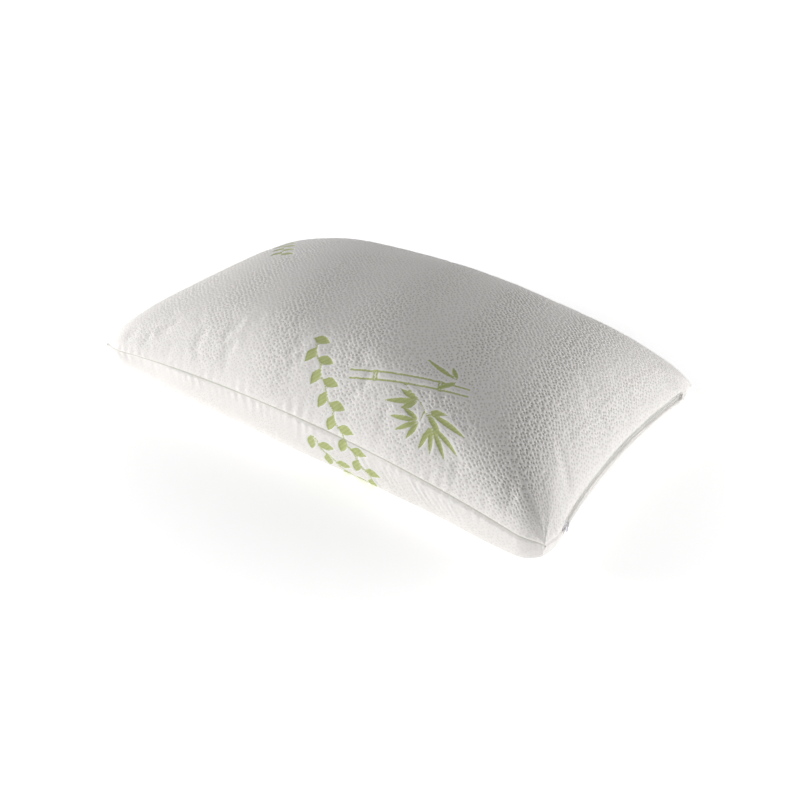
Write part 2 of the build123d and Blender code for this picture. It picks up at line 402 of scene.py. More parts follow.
def sim_shift():
    """How far the settled cloth lies from the drawn form, on a coarse grid of each panel."""
    s = np.linspace(-0.5, 0.5, SIM_LONG)
    t = np.linspace(-0.5, 0.5, SIM_WIDE)
    grids = {}
    for side in (TOP, BELLY):
        p = parameter(0, side, s * cloth_size(0, side))[:, None]
        q = parameter(1, side, t * cloth_size(1, side))[None]
        grids[side] = form(p, q, side)
    seam = (grids[TOP] + grids[BELLY]) / 2
    edge = np.zeros((SIM_LONG, SIM_WIDE), bool)
    edge[[0, -1], :] = True
    edge[:, [0, -1]] = True
    for side in (TOP, BELLY):
        grids[side][edge] = seam[edge]
    index = {TOP: np.arange(SIM_LONG * SIM_WIDE).reshape(SIM_LONG, SIM_WIDE)}
    lower = np.full((SIM_LONG, SIM_WIDE), -1)
    lower[edge] = index[TOP][edge]
    lower[~edge] = SIM_LONG * SIM_WIDE + np.arange((~edge).sum())
    index[BELLY] = lower
    points = np.concatenate([grids[TOP].reshape(-1, 3), grids[BELLY][~edge]])
    faces = [grid_faces(side == BELLY, index[side]) for side in (TOP, BELLY)]
    faces = np.concatenate(faces).tolist()
    pins = np.zeros(len(points))
    pins[lower[~edge]] = np.where(grids[BELLY][~edge][:, 2] < RESTING_HEIGHT, FLOOR_HOLD, 0)
    pins[index[TOP][edge]] = 1
    settled = cloth_settle(points, faces, pins)
    moved = settled - points
    length = np.linalg.norm(moved, axis=1, keepdims=True)
    moved *= np.minimum(1, MOST_SHIFT / np.maximum(length, 1e-9))
    return {side: moved[index[side]] for side in (TOP, BELLY)}


def cubic_weights(places, count):
    """Catmull-Rom weights that read a row of count samples at places from 0 to 1."""
    x = np.clip(places, 0, 1) * (count - 1)
    base = np.minimum(np.floor(x).astype(int), count - 2)
    f = x - base
    taps = (
        -0.5 * f**3 + f**2 - 0.5 * f,
        1.5 * f**3 - 2.5 * f**2 + 1,
        -1.5 * f**3 + 2 * f**2 + 0.5 * f,
        0.5 * f**3 - 0.5 * f**2,
    )
    weights = np.zeros((len(x), count))
    rows = np.arange(len(x))
    for k, tap in enumerate(taps):
        np.add.at(weights, (rows, np.clip(base - 1 + k, 0, count - 1)), tap)
    return weights


# ---------------------------------------------------------------- surface detail


def waves(across, along, wavelength, length, seed):
    """Uneven parallel ripples, about one unit high, with crests that run along."""
    rng = np.random.default_rng(seed)
    total = np.zeros(np.broadcast(across, along).shape)
    for _ in range(WAVE_COUNT):
        scale = rng.uniform(0.7, 1.5)
        lean = rng.uniform(-1, 1) / length
        phase = rng.uniform(0, 2 * math.pi)
        total += np.sin(2 * math.pi * (across / (wavelength * scale) + along * lean) + phase)
    return total / math.sqrt(WAVE_COUNT)


def normals(points):
    """Unit normals of a grid of points, turned away from the middle of the pillow."""
    n = np.cross(np.gradient(points, axis=0), np.gradient(points, axis=1))
    n /= np.maximum(np.linalg.norm(n, axis=-1, keepdims=True), 1e-12)
    outward = np.sum(n * (points - [0, 0, SEAM_Z]), axis=-1, keepdims=True)
    return n * np.sign(outward.mean())


def zip_lips(points, du, side):
    """Opens the edge of a panel round the zip and tucks it in towards the tape."""
    run = np.abs(points[..., 1])
    open_part = 1 - smooth_step(ZIP_HALF_RUN - LIP_FADE[0], ZIP_HALF_RUN + LIP_FADE[1], run)
    open_part = open_part * (points[..., 0] > 0)
    seam_z = points[-1:, :, 2]
    near = np.exp(-du / LIP_REACH)
    level = points[..., 2] + open_part * near * (ZIP_Z - seam_z)
    base = ZIP_Z * open_part * near + seam_z * (1 - open_part * near)
    opened = base + side * np.hypot(level - base, LIP_HALF * open_part)
    points[..., 2] = np.where(open_part * (du < LIP_ZONE) > 0, opened, points[..., 2])
    points[..., 0] -= open_part * LIP_TUCK * np.exp(-((du / LIP_FOLD) ** 2))
    row = (np.abs(points[..., 2] - ZIP_Z) - STITCH_ROW) / STITCH_GROOVE_HALF
    points[..., 0] -= open_part * (du < STITCH_ZONE) * STITCH_GROOVE * np.exp(-(row**2))


def seam_ditch(points, du, dv):
    """Draws the fabric in along the seam, less at the softer left end."""
    depth = SEAM_SINK * (0.5 + 0.5 * smooth_step(-0.15, 0.10, points[..., 0]))
    pull = np.exp(-((np.stack([du, dv], -1) / SEAM_WIDTH) ** 2))
    strength = (pull**4).sum(-1) ** 0.25 / np.maximum(np.linalg.norm(pull, axis=-1), 1e-9)
    points[..., :2] -= np.sign(points[..., :2]) * pull * (depth * strength)[..., None]


def puckers(s, t, du, dv, side):
    """Height of the gathers beside the seam and of the creases at the corners."""
    beside_end = np.exp(-du / PUCKER_REACH) * (1 - np.exp(-du / PUCKER_START))
    beside_side = np.exp(-dv / PUCKER_REACH) * (1 - np.exp(-dv / PUCKER_START))
    height = PUCKER * beside_end * waves(t, du, PUCKER_WIDTH, 0.08, 11 + side)
    height += PUCKER * beside_side * waves(s, dv, PUCKER_WIDTH, 0.08, 21 + side)
    reach = np.hypot(du, dv)
    turn = np.arctan2(dv, du)
    fade = np.exp(-reach / CREASE_REACH) * smooth_step(0.006, 0.050, reach)
    height += CORNER_CREASE * fade * waves(turn * 0.1, reach, 0.035, 0.4, 31 + side)
    height += SOFT_DENT * waves(s + 0.4 * t, t, 0.15, 0.5, 41 + side)
    height += SOFT_DENT * 0.5 * waves(t - 0.3 * s, s, 0.09, 0.3, 51 + side)
    return height


def drag_lines(s, down):
    """Fine slanted creases where the lower panel turns under the front seam."""
    place = smooth_step(0.03, 0.09, s) * (1 - smooth_step(0.17, 0.26, s))
    place = place * smooth_step(0.002, 0.012, down) * (1 - smooth_step(0.035, 0.06, down))
    return DRAG_LINE * place * waves(s - DRAG_LEAN * down, down, DRAG_WIDTH, 0.3, 61)


# ---------------------------------------------------------------- printed motif


def stroke(x, y, start, end, width):
    """Signed distance to a straight stroke."""
    start, end = np.array(start), np.array(end)
    axis = end - start
    length = np.linalg.norm(axis)
    axis = axis / length
    a = np.clip((x - start[0]) * axis[0] + (y - start[1]) * axis[1], 0, length)
    return np.hypot(x - start[0] - a * axis[0], y - start[1] - a * axis[1]) - width / 2


def leaf(x, y, base, angle, length, width):
    """Signed distance to a pointed leaf, near enough for a crisp edge."""
    c, s = math.cos(math.radians(angle)), math.sin(math.radians(angle))
    a = (x - base[0]) * c + (y - base[1]) * s
    b = (y - base[1]) * c - (x - base[0]) * s
    b = b - 0.10 * length * (a / length) * (1 - a / length)
    share = np.clip(a / length, 0, 1)
    half = 0.5 * width * np.sin(math.pi * share**0.85) ** 1.25
    beyond = np.maximum(np.maximum(-a, a - length), 0)
    return np.hypot(np.abs(b), beyond) - half


def fan(x, y, base, angles, lengths, width):
    """Several leaves that grow from near one point."""
    parts = []
    for angle, length in zip(angles, lengths):
        turn = math.radians(angle)
        foot = base + FAN_GAP * np.array([math.cos(turn), math.sin(turn)])
        parts.append(leaf(x, y, foot, angle, length - FAN_GAP, width))
    return np.minimum.reduce(parts)


def cane(x, y, start, angle, length):
    """Outlined cane with two joints."""
    c, s = math.cos(math.radians(angle)), math.sin(math.radians(angle))
    a = (x - start[0]) * c + (y - start[1]) * s
    b = (y - start[1]) * c - (x - start[0]) * s
    swells = [np.exp(-(((a - k * length) / 0.003) ** 2)) for k in CANE_JOINTS]
    bulge = CANE_JOINT_BULGE * sum(swells)
    rails = np.abs(np.abs(b) - CANE_WIDTH / 2 - bulge) - CANE_LINE / 2
    beyond = np.maximum(np.maximum(-a, a - length), 0)
    parts = [np.hypot(np.maximum(rails, 0), beyond) + np.minimum(rails, 0)]
    for k in CANE_JOINTS:
        for off in (-CANE_JOINT_HALF, CANE_JOINT_HALF):
            bow = a - k * length - off - 9 * b * b
            parts.append(np.maximum(np.abs(bow) - CANE_LINE / 2, np.abs(b) - CANE_WIDTH / 2))
    return np.minimum.reduce(parts)


def vine(x, y, start, end, first=1):
    """Wavy stem with broad leaves on alternate sides."""
    start, end = np.array(start), np.array(end)
    length = np.linalg.norm(end - start)
    axis = (end - start) / length
    heading = math.degrees(math.atan2(axis[1], axis[0]))
    a = (x - start[0]) * axis[0] + (y - start[1]) * axis[1]
    b = (y - start[1]) * axis[0] - (x - start[0]) * axis[1]
    sway = VINE_SWAY * np.sin(math.pi * a / VINE_STEP)
    beyond = np.maximum(np.maximum(-a, a - length), 0)
    parts = [np.hypot(np.maximum(np.abs(b - sway) - VINE_STEM / 2, 0), beyond) - 0.0001]
    for k in range(int(length / VINE_STEP) + 1):
        side = first * (-1) ** k
        foot = start + axis * k * VINE_STEP
        angle = heading + side * VINE_LEAF_ANGLE
        parts.append(leaf(x, y, foot, angle, VINE_LEAF, VINE_LEAF_WIDTH))
    return np.minimum.reduce(parts)


def motif(x, y):
    """Signed distance, in metres, to the printed pattern on the unfolded cloth."""
    fork, tip, drop = (0.137, -0.159), (0.160, -0.176), (0.147, -0.178)
    parts = [
        cane(x, y, (0.050, -0.166), 18.5, 0.138),
        fan(x, y, (0.164, -0.116), (172, 140, 233), (0.050, 0.022, 0.027), 0.0056),
        fan(x, y, fork, (205, 176, 228), (0.042, 0.026, 0.024), 0.0062),
        fan(x, y, (0.150, -0.166), (18, -6, -36), (0.024, 0.056, 0.034), 0.0062),
        fan(x, y, tip, (-24, -48, -75, -100), (0.046, 0.042, 0.033, 0.034), 0.0056),
        fan(x, y, drop, (170, 196, 222, 250), (0.026, 0.038, 0.034, 0.028), 0.0054),
        stroke(x, y, (0.112, -0.150), fork, 0.0012),
        stroke(x, y, fork, tip, 0.0014),
        stroke(x, y, (0.147, -0.166), drop, 0.0012),
        vine(x, y, (-0.012, -0.143), (0.100, -0.279)),
        vine(x, y, (0.022, -0.252), (0.082, -0.305), first=-1),
        vine(x, y, (-0.262, 0.088), (-0.186, -0.004)),
    ]
    return np.minimum.reduce(parts)


# ---------------------------------------------------------------- meshes


def add_object(name, data):
    """Puts a mesh, curve, light or camera into the scene."""
    obj = bpy.data.objects.new(name, data)
    bpy.context.scene.collection.objects.link(obj)
    return obj


def curve_object(name, lines, radius, material):
    """Round thread or wire along one or more lines of points."""
    data = bpy.data.curves.new(name, "CURVE")
    data.dimensions = "3D"
    data.bevel_depth = radius
    data.bevel_resolution = 1
    data.use_fill_caps = True
    for line in lines:
        spline = data.splines.new("POLY")
        spline.points.add(len(line) - 1)
        spline.points.foreach_set("co", np.c_[line, np.ones(len(line))].astype(np.float32).ravel())
        spline.use_smooth = True
    data.materials.append(material)
    return add_object(name, data)


def new_mesh(name, points, faces, material):
    """Smooth mesh of the given points and faces, in one material."""
    mesh = bpy.data.meshes.new(name)
    mesh.from_pydata(points.reshape(-1, 3).tolist(), [], faces)
    mesh.materials.append(material)
    mesh.shade_smooth()
    return add_object(name, mesh)


def set_attribute(obj, name, values):
    """Stores one number or vector for each point of a mesh."""
    kind, field = ("FLOAT_VECTOR", "vector") if values.ndim > 1 else ("FLOAT", "value")
    layer = obj.data.attributes.new(name, kind, "POINT")
    layer.data.foreach_set(field, values.astype(np.float32).ravel())


def panel(name, side, shift, material):
    """One panel of the cover, with its cloth coordinates and the print's distances."""
    long, wide = cloth_size(0, side), cloth_size(1, side)
    s, t = spacing(long, PANEL_STEP), spacing(wide, PANEL_STEP)
    points = form(parameter(0, side, s)[:, None], parameter(1, side, t)[None], side)
    read_s, read_t = cubic_weights(s / long + 0.5, SIM_LONG), cubic_weights(t / wide + 0.5, SIM_WIDE)
    settled = np.einsum("ai,ijk,bj->abk", read_s, shift[side], read_t, optimize=True)
    s, t = np.meshgrid(s, t, indexing="ij")
    du, dv = long / 2 - np.abs(s), wide / 2 - np.abs(t)
    calm = smooth_step(0, SEAM_CALM, du) * smooth_step(0, SEAM_CALM, dv)
    calm *= TOP_CALM if side == TOP else BELLY_CALM
    points += settled * calm[..., None]
    down = t + wide / 2
    unfolded = t if side == TOP else -cloth_size(1, TOP) / 2 - down
    print_distance = motif(s, unfolded)
    height = puckers(s, t, du, dv, side)
    if side == BELLY:
        height += drag_lines(s, down)
    rim = np.exp(-(((print_distance - EMBOSS_RIM) / 0.0015) ** 2))
    height += EMBOSS * (rim - smooth_step(0.0006, -0.0010, print_distance))
    settle = smooth_step(0.0, 0.004, np.minimum(du, dv))
    points += normals(points) * (height * settle)[..., None]
    seam_ditch(points, du, dv)
    zip_lips(points, long / 2 - s, side)
    points[..., 2] = np.maximum(points[..., 2], 0)
    index = np.arange(points[..., 0].size).reshape(s.shape)
    faces = grid_faces(side == BELLY, index).tolist()
    obj = new_mesh(name, points, faces, material)
    cloth = np.stack([s, unfolded, np.zeros_like(s)], -1)
    set_attribute(obj, "cloth", cloth.reshape(-1, 3))
    set_attribute(obj, "print_distance", print_distance.ravel())
    seam_distance = np.where(s > 0, dv, np.minimum(du, dv))
    set_attribute(obj, "seam_distance", seam_distance.ravel())
    set_attribute(obj, "relief", dimple_relief(s, t, du, dv, side).ravel())
    return obj


def dimple_relief(s, t, du, dv, side):
    """How deep the dimples show, and how dark the shade painted into them: less where the cloth is
    stretched or turned under.
    """
    relief = 0.55 + 0.45 * smooth_step(-0.15, 0.20, s + 0.25 * t)
    relief *= 0.45 + 0.55 * smooth_step(0.0, 0.05, dv)
    relief *= 0.35 + 0.65 * smooth_step(0.0, 0.07, du)
    relief *= 0.8 + 0.2 * waves(s, t, 0.11, 0.2, 71)
    return np.clip(relief * (1 if side == TOP else 0.55), 0, 1)


def inner_skin(name, sides, inset, sink, floor, material):
    """Skin inside the cover: half of the liner, or the whole of the filling."""
    grids, faces, count = [], [], 0
    for side in sides:
        s = spacing(cloth_size(0, side), INNER_STEP)
        t = spacing(cloth_size(1, side), INNER_STEP)
        p, q = parameter(0, side, s)[:, None], parameter(1, side, t)[None]
        points = form(p, q, side, inset, sink, floor)
        s, t = np.meshgrid(s, t, indexing="ij")
        lumps = waves(s, t, LUMP_WIDTH, 0.1, 81) * waves(t, s, LUMP_WIDTH, 0.1, 82)
        room = smooth_step(0, 0.02, np.minimum(s.max() - np.abs(s), t.max() - np.abs(t)))
        points -= normals(points) * (LUMP * np.abs(lumps) * room)[..., None]
        points[..., 2] = np.maximum(points[..., 2], floor)
        index = count + np.arange(s.size).reshape(s.shape)
        faces += grid_faces(side == BELLY, index).tolist()
        grids.append(points.reshape(-1, 3))
        count += s.size
    return new_mesh(name, np.concatenate(grids), faces, material)


def seam_edge(name, node, start, end, material, stitching):
    """Overlocked edge inside the seam: a ruffled strip of cloth with thread looped round it."""
    p, q = (np.linspace(a, b, SEAM_PLACES) for a, b in zip(start, end))
    outer = form(p, q, TOP, SEAM_INSET)
    middle = form(p, q, TOP, SEAM_INSET + SEAM_STRIP / 2)
    run = np.concatenate([[0], np.cumsum(np.linalg.norm(np.diff(outer, axis=0), axis=1))])
    even = np.linspace(0, run[-1], SEAM_PLACES)
    outer, middle = (np.stack([np.interp(even, run, c) for c in x.T], -1) for x in (outer, middle))
    across = outer - middle
    across *= SEAM_STRIP / 2 / np.maximum(np.linalg.norm(across, axis=1, keepdims=True), 1e-9)
    turn = np.linspace(0, 2 * math.pi, 13)[:-1]
    ruffle = SEAM_RUFFLE * waves(even, 0, 0.009, 1, 91)[:, None] * (1 - np.cos(turn)) / 2
    points = middle[:, None] + across[:, None] * np.cos(turn)[None, :, None]
    points[..., 2] += SEAM_THICK / 2 * np.sin(turn) + ruffle
    index = np.arange(points[..., 0].size).reshape(points.shape[:2])
    faces = grid_faces(False, np.c_[index, index[:, :1]]).tolist()
    faces += [index[0].tolist(), index[-1, ::-1].tolist()]
    piece = new_mesh(name, points, faces, material)
    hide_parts(node)
    phase = np.arange(0, run[-1] / OVERLOCK_PITCH * 2 * math.pi, math.pi / 5)
    place = phase / (2 * math.pi) * OVERLOCK_PITCH
    line = np.stack([np.interp(place, even, c) for c in middle.T], -1)
    side = np.stack([np.interp(place, even, c) for c in across.T], -1)
    line += side * 1.06 * np.cos(phase)[:, None]
    line[:, 2] += (SEAM_THICK / 2 + 1.5 * THREAD_RADIUS) * np.sin(phase)
    loops = curve_object(name + "_loops", [line], THREAD_RADIUS, stitching)
    for part in (piece, loops):
        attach(part, "pillow")


# ---------------------------------------------------------------- materials


class Nodes:
    """Short way to write a material's nodes."""

    def __init__(self, name):
        self.material = bpy.data.materials.new(name)
        self.material.use_nodes = True
        self.tree = self.material.node_tree
        self.tree.nodes.clear()

    def add(self, kind, inputs=(), out=0, **settings):
        """Adds a node; inputs maps a socket's name or number to a value or another socket."""
        node = self.tree.nodes.new(kind)
        for key, value in settings.items():
            setattr(node, key, value)
        for key, value in dict(inputs).items():
            socket = node.inputs[key]
            if isinstance(value, bpy.types.NodeSocket):
                self.tree.links.new(value, socket)
            else:
                socket.default_value = value
        return node.outputs[out]

    def math(self, operation, a, b=0.0, c=0.0):
        """One sum on up to three values."""
        return self.add("ShaderNodeMath", {0: a, 1: b, 2: c}, operation=operation)

    def step(self, value, low, high, start=0.0, end=1.0):
        """Smooth step of a value from start at low to end at high."""
        inputs = {"Value": value, "From Min": low, "From Max": high, "To Min": start, "To Max": end}
        return self.add("ShaderNodeMapRange", inputs, interpolation_type="SMOOTHSTEP")

    def mix(self, share, a, b):
        """Colour between a, at share 0, and b, at share 1."""
        return self.add("ShaderNodeMix", {"Factor": share, 6: a, 7: b}, out=2, data_type="RGBA")

    def noise(self, vector, scale, detail=2.0):
        """Soft random pattern, scale of its cells to the metre."""
        inputs = {"Vector": vector, "Scale": scale, "Detail": detail}
        return self.add("ShaderNodeTexNoise", inputs)

    def stripes(self, vector, scale, angle=0.0, distortion=0.0):
        """Rounded parallel threads, scale of them to the metre."""
        turned = self.add("ShaderNodeMapping", {"Vector": vector, "Rotation": (0, 0, angle)})
        inputs = {"Vector": turned, "Scale": scale / 10, "Distortion": distortion}
        return self.add("ShaderNodeTexWave", inputs, out=1, wave_profile="SIN")

    def attribute(self, name, out=2):
        """Reads what set_attribute stored: a number, or a vector from output 1."""
        return self.add("ShaderNodeAttribute", out=out, attribute_name=name)

    def bump(self, height, metres):
        """Normal of a surface with relief; height 1 stands metres proud."""
        return self.add("ShaderNodeBump", {"Height": height, "Distance": metres, "Strength": 1.0})

    def finish(self, color, normal, **sockets):
        """Ends the material with one surface shader."""
        inputs = {"Base Color": color, "Normal": normal}
        inputs.update({key.replace("_", " "): value for key, value in sockets.items()})
        shader = self.add("ShaderNodeBsdfPrincipled", inputs)
        output = self.tree.nodes.new("ShaderNodeOutputMaterial")
        self.tree.links.new(shader, output.inputs["Surface"])
        return self.material


def knit_material():
    """Off-white jacquard knit with pinhole dimples, and a flat green stitch in the print; shade is
    painted into the pinholes and along the seam, and a highlight onto the rim round the print.
    """
    n = Nodes("dimpled_knit")
    cloth = n.attribute("cloth", out=1)
    relief = n.attribute("relief")
    print_distance = n.attribute("print_distance")
    seam_distance = n.attribute("seam_distance")
    drift = n.add("ShaderNodeTexNoise", {"Vector": cloth, "Scale": 90.0, "Detail": 1.0}, out=1)
    drift = n.add("ShaderNodeVectorMath", {0: drift, 1: (0.5, 0.5, 0.5)}, operation="SUBTRACT")
    drift = n.add("ShaderNodeVectorMath", {0: drift, "Scale": DIMPLE_DRIFT}, operation="SCALE")
    place = n.add("ShaderNodeVectorMath", {0: cloth, 1: drift})
    turned = {"Vector": place, "Rotation": (0, 0, DIMPLE_TURN), "Scale": DIMPLE_SCALE}
    lattice = n.add("ShaderNodeMapping", turned)
    inputs = {"Vector": lattice, "Scale": 1.0, "Randomness": DIMPLE_RANDOM}
    cells = n.add("ShaderNodeTexVoronoi", inputs, voronoi_dimensions="2D")
    ragged = n.math("MULTIPLY_ADD", n.noise(cloth, 520.0), 0.0022, -0.0011)
    print_edge = n.math("ADD", print_distance, ragged)
    inside = n.step(print_edge, 0.0003, -0.0003)
    clear = n.step(print_distance, 0.0010, 0.0045)
    depth = n.math("MULTIPLY", relief, clear)
    # Mask of the painted shade in the pinholes, then of the knit puffed round them
    hole_shade = n.math("MULTIPLY", n.step(cells, 0.30, 0.08), depth)
    puff = n.math("MULTIPLY", n.step(cells, 0.02, 0.62), depth)
    loops = n.stripes(cloth, 1100, math.radians(90), 1.5)
    twill = n.stripes(cloth, 780, math.radians(40), 0.6)
    fuzz = n.noise(cloth, 1500.0, 3.0)
    knit = n.math("MULTIPLY_ADD", loops, LOOP_SHARE, n.math("MULTIPLY", fuzz, LOOP_SHARE))
    knit = n.mix(inside, knit, n.math("MULTIPLY", twill, 0.14))
    height = n.math("ADD", puff, knit)
    height = n.math("ADD", height, n.step(print_edge, -0.0012, 0.0008, -0.25, 0.0))
    cloudy = n.noise(cloth, 14.0, 3.0)
    white = n.mix(cloudy, COVER_SHADE, COVER_WHITE)
    # Painted shade in the pinholes
    white = n.mix(n.math("MULTIPLY", hole_shade, HOLE_SHADE_SHARE), white, HOLE_SHADE_COLOR)
    # Painted highlight on the rim just outside the print's edge
    rim = n.math("MULTIPLY", n.step(print_edge, 0.0022, 0.0005), n.step(print_edge, -0.0002, 0.0004))
    white = n.mix(n.math("MULTIPLY", rim, 0.35), white, RIM_HIGHLIGHT)
    green = n.mix(n.math("MULTIPLY", twill, 0.45), PRINT_GREEN, PRINT_LIGHT)
    color = n.mix(inside, white, green)
    # Painted shade in the ditch along the seam
    ditch_shade = n.math("MULTIPLY", n.step(seam_distance, 0.0016, 0.0002), SEAM_SHADE)
    color = n.mix(ditch_shade, color, SEAM_SHADE_COLOR)
    normal = n.bump(height, DIMPLE_DEPTH)
    return n.finish(color, normal, Roughness=0.88, Sheen_Weight=0.12, Sheen_Roughness=0.5)


def woven_material(name, color, dark, threads, depth=0.00012):
    """Plain close weave or spun thread."""
    n = Nodes(name)
    place = n.add("ShaderNodeTexCoord", out=3)
    warp, weft = n.stripes(place, threads), n.stripes(place, threads * 0.8, math.radians(90))
    across = n.add("ShaderNodeMapping", {"Vector": place, "Rotation": (math.radians(90), 0, 0)})
    upright = n.stripes(across, threads * 0.8, math.radians(90))
    weave = n.math("MULTIPLY", n.math("MAXIMUM", warp, upright), n.math("ADD", weft, 0.4))
    spotted = n.math("MULTIPLY", weave, n.noise(place, 600.0))
    tone = n.mix(spotted, dark, color)
    return n.finish(tone, n.bump(weave, depth), Roughness=0.8, Sheen_Weight=0.1)


def metal_material(name, color, tint):
    """Plated metal with faint rubbing marks."""
    n = Nodes(name)
    place = n.add("ShaderNodeTexCoord", out=3)
    worn = n.noise(place, 700.0, 4.0)
    scratches = n.stripes(place, 9000, math.radians(25), 6.0)
    tone = n.mix(worn, tint, color)
    normal = n.bump(n.math("ADD", worn, n.math("MULTIPLY", scratches, 0.3)), 0.00002)
    inputs = {"Value": worn, "To Min": METAL_ROUGHNESS - 0.08, "To Max": METAL_ROUGHNESS + 0.14}
    rough = n.add("ShaderNodeMapRange", inputs)
    return n.finish(tone, normal, Metallic=1.0, Roughness=rough)


def nylon_material():
    """Pale cloudy nylon of the zip's spirals."""
    n = Nodes("nylon_spiral")
    place = n.add("ShaderNodeTexCoord", out=3)
    cloudy = n.noise(place, 500.0, 3.0)
    tone = n.mix(cloudy, NYLON_SHADE, NYLON_WHITE)
    return n.finish(tone, n.bump(cloudy, 0.00003), Roughness=0.35)


def foam_material():
    """Loose crumbs of foam."""
    n = Nodes("foam_crumbs")
    place = n.add("ShaderNodeTexCoord", out=3)
    crumbs = n.add("ShaderNodeTexVoronoi", {"Vector": place, "Scale": 110.0})
    pores = n.noise(place, 1200.0, 3.0)
    tone = n.mix(n.step(crumbs, 0.0, 0.7), FOAM_CREAM, FOAM_SHADE)
    height = n.math("MULTIPLY_ADD", pores, 0.15, n.math("SUBTRACT", 1.0, crumbs))
    return n.finish(tone, n.bump(height, 0.0025), Roughness=0.95)


def dress(node, material):
    """Puts a material on a CAD piece."""
    slots = NODES[node].data.materials
    slots.clear()
    slots.append(material)


# ---------------------------------------------------------------- the zip


def on_arc(run, depth, z):
    """Point on the zip's arc: run sideways from the middle, depth outwards of the tape's face."""
    radius = ARC_CENTRE - TAPE_FACE_X - np.asarray(depth)
    angle = np.asarray(run) / (ARC_CENTRE - TAPE_FACE_X)
    x = ARC_CENTRE - radius * np.cos(angle)
    return np.stack(np.broadcast_arrays(x, radius * np.sin(angle), z), -1)


def spiral(side, start, end):
    """Nylon spiral on one tape: its heads pass the middle line between those of the other."""
    turns = (end - start) / COIL_PITCH
    phase = np.arange(0, turns * 2 * math.pi, 2 * math.pi / COIL_POINTS)
    run = start + COIL_PITCH * (phase / (2 * math.pi) + 0.25 * side)
    run = run + 0.12 * COIL_PITCH * np.sin(2 * phase)
    z = ZIP_Z + side * (COIL_MIDDLE - COIL_REACH * np.cos(phase))
    depth = COIL_HEIGHT + COIL_SWELL * np.sin(phase)
    return on_arc(run, depth, z)


def topstitch_lines(side):
    """Row of short stitches that dip into the cloth at both ends."""
    reach = ZIP_HALF_RUN - STITCH_MARGIN
    t = np.linspace(-0.5, 0.5, 7)
    lift = STITCH_LIFT - STITCH_DIP * (2 * np.abs(t)) ** 3
    lines = []
    for run in np.arange(-reach, reach, STITCH_PITCH):
        places = run + t * STITCH_PITCH * STITCH_SHARE
        lines.append(on_arc(places, lift, ZIP_Z + side * STITCH_ROW))
    return lines


def bartack_line(side):
    """Close zigzag of thread across both lips."""
    t = np.linspace(0, 1, 4 * BARTACK_TURNS + 1)
    sway = np.abs((t * BARTACK_TURNS * 2) % 2 - 1) * 2 - 1
    run = side * BARTACK_PLACE + BARTACK_SWAY * sway
    z = ZIP_Z + (t - 0.5) * 2 * BARTACK_HALF
    bulge = BARTACK_LIFT + BARTACK_BULGE * np.cos(sway * math.pi / 2)
    return [on_arc(run, bulge, z)]


# ---------------------------------------------------------------- building the pillow

cover_cloth = knit_material()
liner_cloth = woven_material("liner_knit", (0.90, 0.90, 0.87, 1), (0.76, 0.76, 0.73, 1), 1100)
edge_cloth = woven_material("overlocked_edge", (0.86, 0.86, 0.83, 1), (0.62, 0.62, 0.57, 1), 600)
tape_cloth = woven_material("zip_tape_weave", (0.90, 0.90, 0.88, 1), (0.66, 0.66, 0.63, 1), 1500)
thread = woven_material("sewing_thread", (0.88, 0.88, 0.85, 1), (0.66, 0.66, 0.61, 1), 3500, 0.00005)
nickel = metal_material("nickel", (0.78, 0.78, 0.79, 1), (0.60, 0.60, 0.62, 1))
pull_metal = metal_material("pull_plate", (0.72, 0.70, 0.80, 1), (0.50, 0.48, 0.60, 1))
nylon = nylon_material()
foam = foam_material()

shift = sim_shift()

cover_top = panel("cover_top", TOP, shift, cover_cloth)
cover_bottom = panel("cover_bottom", BELLY, shift, cover_cloth)
liner_top = inner_skin("liner_top", (TOP,), LINER_INSET, LINER_SINK, 0, liner_cloth)
liner_bottom = inner_skin("liner_bottom", (BELLY,), LINER_INSET, 0, LINER_FLOOR, liner_cloth)
filling = inner_skin("filling", (TOP, BELLY), FOAM_INSET, FOAM_SINK, FOAM_FLOOR, foam)
seam_edge("seam_front", "cover_seam_front", (0, 0), (1, 0), edge_cloth, thread)
seam_edge("seam_back", "cover_seam_back", (0, 1), (1, 1), edge_cloth, thread)
seam_edge("seam_left", "cover_seam_left", (0, 0), (0, 1), edge_cloth, thread)

coil_start, coil_end = (corner[1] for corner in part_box("zip_coil_upper"))
coils = {
    side: curve_object(name, [spiral(side, coil_start, coil_end)], COIL_WIRE, nylon)
    for side, name in ((1, "coil_upper"), (-1, "coil_lower"))
}
stitch_upper = curve_object("topstitch_upper", topstitch_lines(1), THREAD_RADIUS, thread)
stitch_lower = curve_object("topstitch_lower", topstitch_lines(-1), THREAD_RADIUS, thread)
tack_front = curve_object("bartack_front", bartack_line(-1), THREAD_RADIUS, thread)
tack_back = curve_object("bartack_back", bartack_line(1), THREAD_RADIUS, thread)

STANDS_FOR = (
    (cover_top, "knit_cover", "cover_top_panel"),
    (cover_bottom, "knit_cover", "cover_bottom_panel"),
    (liner_top, "liner", "liner_top_panel"),
    (liner_bottom, "liner", "liner_bottom_panel"),
    (filling, "foam", "foam_fill"),
    (coils[1], "zip_coil", "zip_coil_upper"),
    (coils[-1], "zip_coil", "zip_coil_lower"),
    (stitch_upper, "thread", "zip_topstitch_upper"),
    (stitch_lower, "thread", "zip_topstitch_lower"),
    (tack_front, "thread", "zip_bartack_front"),
    (tack_back, "thread", "zip_bartack_back"),
)
for piece, slot, node in STANDS_FOR:
    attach(piece, "pillow")
    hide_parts(node)

dress("liner_edge_seam", edge_cloth)
for node in ("zip_tape_upper", "zip_tape_lower"):
    dress(node, tape_cloth)
for node in ("zip_top_stop_upper", "zip_top_stop_lower", "zip_bottom_stop"):
    dress(node, nickel)
for node in ("zip_slider_body", "zip_pull_ring"):
    dress(node, nickel)
dress("zip_pull_tab", pull_metal)

# ---------------------------------------------------------------- floor, light and camera


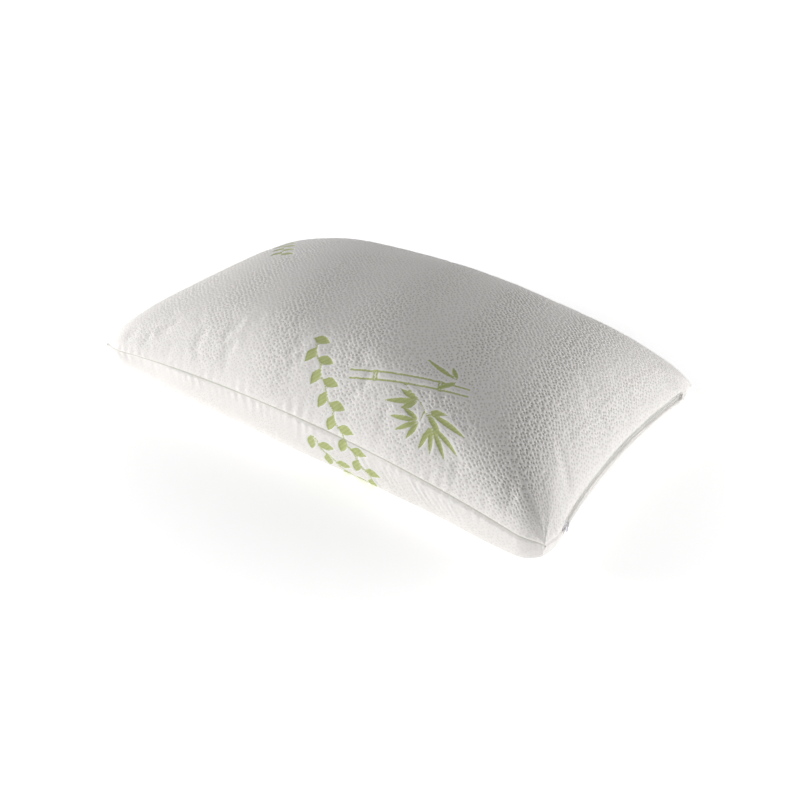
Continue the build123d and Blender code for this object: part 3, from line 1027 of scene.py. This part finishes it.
def soft_light(name, place, power):
    """White panel light aimed at the pillow."""
    data = bpy.data.lights.new(name, "AREA")
    data.shape = "RECTANGLE"
    data.size, data.size_y = LIGHT_SIZE
    data.energy = power
    obj = add_object(name, data)
    obj.location = place
    direction = Vector(LIGHT_AIM) - Vector(place)
    obj.rotation_euler = direction.to_track_quat("-Z", "Y").to_euler()


def floor():
    """Pale floor that gives off a little light, more of it far from the pillow."""
    corners = FLOOR_HALF * np.array([[-1, -1, 0], [1, -1, 0], [1, 1, 0], [-1, 1, 0]])
    n = Nodes("pale_floor")
    place = n.add("ShaderNodeTexCoord", out=3)
    tone = n.mix(n.noise(place, 3.0), (0.93, 0.93, 0.93, 1), (0.95, 0.95, 0.95, 1))
    away = n.add("ShaderNodeVectorMath", {0: place}, out=1, operation="LENGTH")
    glow = n.step(away, GLOW_NEAR, GLOW_FAR, FLOOR_GLOW, FAR_GLOW)
    glow = {"Emission_Color": (1, 1, 1, 1), "Emission_Strength": glow}
    material = n.finish(tone, n.bump(n.noise(place, 200.0), 0.00001), Roughness=0.9, **glow)
    obj = new_mesh("floor", corners, [(0, 1, 2, 3)], material)
    obj.location.z = CAD_BOX[0][2]


def camera():
    """Camera that looks at the pillow from the front right, a little from above."""
    az, el = VIEW_AZIMUTH, VIEW_ELEVATION
    back = np.array([math.sin(az) * math.cos(el), -math.cos(az) * math.cos(el), math.sin(el)])
    right = np.array([math.cos(az), math.sin(az), 0])
    up = np.cross(back, right)
    c, s = math.cos(VIEW_ROLL), math.sin(VIEW_ROLL)
    right, up = right * c + up * s, up * c - right * s
    data = bpy.data.cameras.new("camera")
    data.lens = VIEW_LENS
    data.shift_x, data.shift_y = VIEW_SHIFT
    obj = add_object("camera", data)
    place = np.array(VIEW_TARGET) + back * VIEW_DISTANCE
    rows = [[right[k], up[k], back[k], place[k]] for k in range(3)]
    obj.matrix_world = Matrix(rows + [[0, 0, 0, 1]])
    bpy.context.scene.camera = obj


def studio():
    """Bright sky near the horizon and darker overhead, as inside a light tent."""
    world = bpy.data.worlds.new("studio")
    world.use_nodes = True
    tree = world.node_tree
    place = tree.nodes.new("ShaderNodeTexCoord").outputs["Generated"]
    split = tree.nodes.new("ShaderNodeSeparateXYZ")
    fade = tree.nodes.new("ShaderNodeMapRange")
    fade.inputs["From Max"].default_value = SKY_EDGE
    fade.inputs["To Min"].default_value, fade.inputs["To Max"].default_value = SKY_LOW, SKY_HIGH
    tree.links.new(place, split.inputs[0])
    tree.links.new(split.outputs["Z"], fade.inputs["Value"])
    tree.links.new(fade.outputs[0], tree.nodes["Background"].inputs["Strength"])
    tree.nodes["Background"].inputs["Color"].default_value = (1, 1, 1, 1)
    bpy.context.scene.world = world


floor()
camera()
studio()
soft_light("left", LEFT_PLACE, LEFT_POWER)
soft_light("right", RIGHT_PLACE, RIGHT_POWER)
bpy.context.scene.view_settings.view_transform = "Standard"
